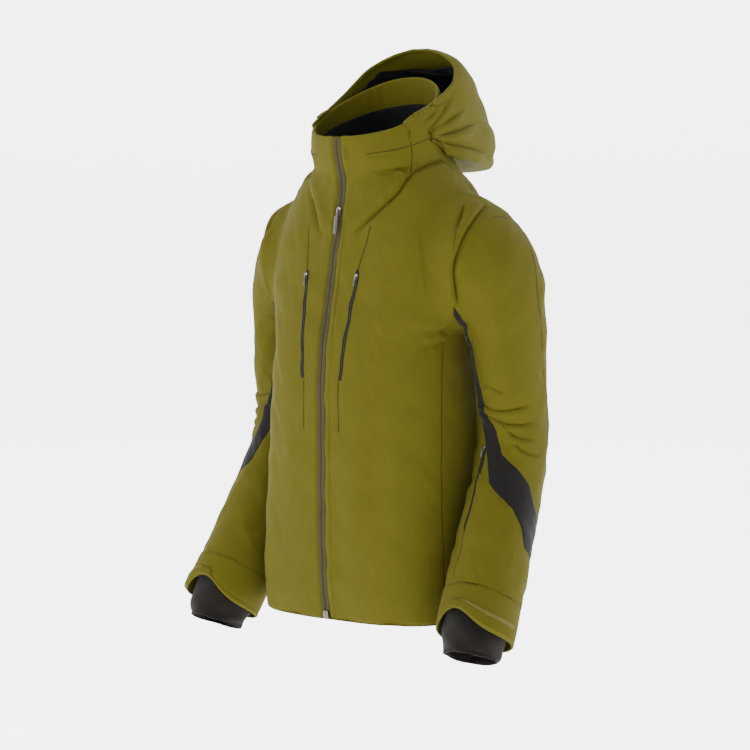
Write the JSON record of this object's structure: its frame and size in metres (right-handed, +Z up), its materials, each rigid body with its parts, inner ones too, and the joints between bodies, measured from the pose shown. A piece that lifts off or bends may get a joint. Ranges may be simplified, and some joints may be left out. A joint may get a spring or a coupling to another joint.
{
  "type": "ski jacket",
  "caption": "Olive insulated ski jacket with a high collar, fold-back hood, front zip, slanted chest zips, black stretch elbow panels, strap cuffs and wrist gaiters.",
  "frame": {"origin": "under the middle of the hanger loop, inside the back of the neck, where a hook holds the jacket", "axes": "+Z up, -Y towards the front of the jacket, +X towards the wearer's left"},
  "size_m": [0.6548, 0.4194, 0.9607],
  "materials": {
    "shell_fabric": "matt olive woven shell fabric with light padding",
    "stretch_fabric": "matt black four-way stretch fabric",
    "knit_rib": "black knitted rib",
    "lining_fabric": "smooth black woven lining",
    "fleece": "black brushed fleece",
    "zip_tape": "taupe woven zip tape with moulded teeth",
    "sealed_zip": "black coated zip",
    "zip_metal": "satin metal slider",
    "soft_pull": "soft moulded pull",
    "hook_fabric": "hook fastener tape"
  },
  "bodies": {
    "jacket_body": {"front_panel_left": "shell_fabric", "front_panel_right": "shell_fabric", "side_panel_left": "shell_fabric", "side_panel_right": "shell_fabric", "back_panel": "shell_fabric", "front_yoke_left": "shell_fabric", "front_yoke_right": "shell_fabric", "back_yoke": "shell_fabric", "body_lining": "lining_fabric", "yoke_lining": "lining_fabric", "powder_skirt": "lining_fabric", "collar_left": "shell_fabric", "collar_right": "shell_fabric", "collar_facing": "shell_fabric", "collar_fleece": "fleece", "chin_guard": "fleece", "main_zip_tape_left": "zip_tape", "main_zip_tape_right": "zip_tape", "main_zip_chain": "zip_tape", "main_zip_foot": "zip_metal", "chest_zip_left": "sealed_zip", "chest_zip_right": "sealed_zip", "chest_pocket_bag_left": "lining_fabric", "chest_pocket_bag_right": "lining_fabric", "hanger_loop": "lining_fabric"},
    "hood": {"hood_side_left": "shell_fabric", "hood_side_right": "shell_fabric", "hood_centre": "shell_fabric", "hood_lining": "lining_fabric"},
    "arm_left": {"sleeve_left": "shell_fabric", "sleeve_lining_left": "lining_fabric", "underarm_strip_left": "stretch_fabric", "elbow_patch_left": "stretch_fabric", "cuff_left": "shell_fabric", "cuff_hook_patch_left": "hook_fabric", "wrist_gaiter_left": "knit_rib", "pit_zip_left": "sealed_zip", "forearm_zip": "sealed_zip", "forearm_pocket": "shell_fabric"},
    "arm_right": {"sleeve_right": "shell_fabric", "sleeve_lining_right": "lining_fabric", "underarm_strip_right": "stretch_fabric", "elbow_patch_right": "stretch_fabric", "cuff_right": "shell_fabric", "cuff_hook_patch_right": "hook_fabric", "wrist_gaiter_right": "knit_rib", "pit_zip_right": "sealed_zip"},
    "main_slider": {"main_zip_slider": "zip_metal"},
    "main_pull": {"main_zip_pull": "soft_pull"},
    "chest_slider_left": {"chest_slider_left": "zip_metal"},
    "chest_slider_right": {"chest_slider_right": "zip_metal"},
    "forearm_slider": {"forearm_slider": "zip_metal"},
    "pit_slider_left": {"pit_slider_left": "zip_metal"},
    "pit_slider_right": {"pit_slider_right": "zip_metal"},
    "cuff_tab_left": {"cuff_tab_left": "shell_fabric"},
    "cuff_tab_right": {"cuff_tab_right": "shell_fabric"}
  },
  "joints": [
    {"name": "hood_fold", "type": "hinge", "parent": "jacket_body", "child": "hood", "pos_m": [0, 0.03, -0.004], "axis": [-1, 0, 0], "range_deg": [0, 35]},
    {"name": "sleeve_left_swing", "type": "hinge", "parent": "jacket_body", "child": "arm_left", "pos_m": [0.16, -0.058, -0.072], "axis": [0, -1, 0], "range_deg": [0, 30]},
    {"name": "sleeve_right_swing", "type": "hinge", "parent": "jacket_body", "child": "arm_right", "pos_m": [-0.16, -0.058, -0.072], "axis": [0, 1, 0], "range_deg": [0, 30]},
    {"name": "main_zip_slide", "type": "slide", "parent": "jacket_body", "child": "main_slider", "axis": [0, -0.1961, -0.9806], "range_m": [-0.008, 0.18]},
    {"name": "main_pull_swing", "type": "hinge", "parent": "main_slider", "child": "main_pull", "pos_m": [0, -0.2035, -0.0895], "axis": [-1, 0, 0], "range_deg": [0, 150]},
    {"name": "chest_zip_left_slide", "type": "slide", "parent": "jacket_body", "child": "chest_slider_left", "axis": [-0.105, -0.196, -0.975], "range_m": [0, 0.12]},
    {"name": "chest_zip_right_slide", "type": "slide", "parent": "jacket_body", "child": "chest_slider_right", "axis": [0.105, -0.196, -0.975], "range_m": [0, 0.12]},
    {"name": "forearm_zip_slide", "type": "slide", "parent": "arm_left", "child": "forearm_slider", "axis": [0.077, -0.4241, -0.9023], "range_m": [0, 0.058]},
    {"name": "pit_zip_left_slide", "type": "slide", "parent": "arm_left", "child": "pit_slider_left", "axis": [0.02, 0.11, -0.9937], "range_m": [0, 0.1]},
    {"name": "pit_zip_right_slide", "type": "slide", "parent": "arm_right", "child": "pit_slider_right", "axis": [-0.02, 0.11, -0.9937], "range_m": [0, 0.1]},
    {"name": "cuff_tab_left_open", "type": "hinge", "parent": "arm_left", "child": "cuff_tab_left", "pos_m": [0.3245, -0.1665, -0.7245], "axis": [-0.13, 0.47, 0.873], "range_deg": [0, 80]},
    {"name": "cuff_tab_right_open", "type": "hinge", "parent": "arm_right", "child": "cuff_tab_right", "pos_m": [-0.3245, -0.1665, -0.7245], "axis": [-0.13, -0.47, -0.873], "range_deg": [0, 80]}
  ]
}
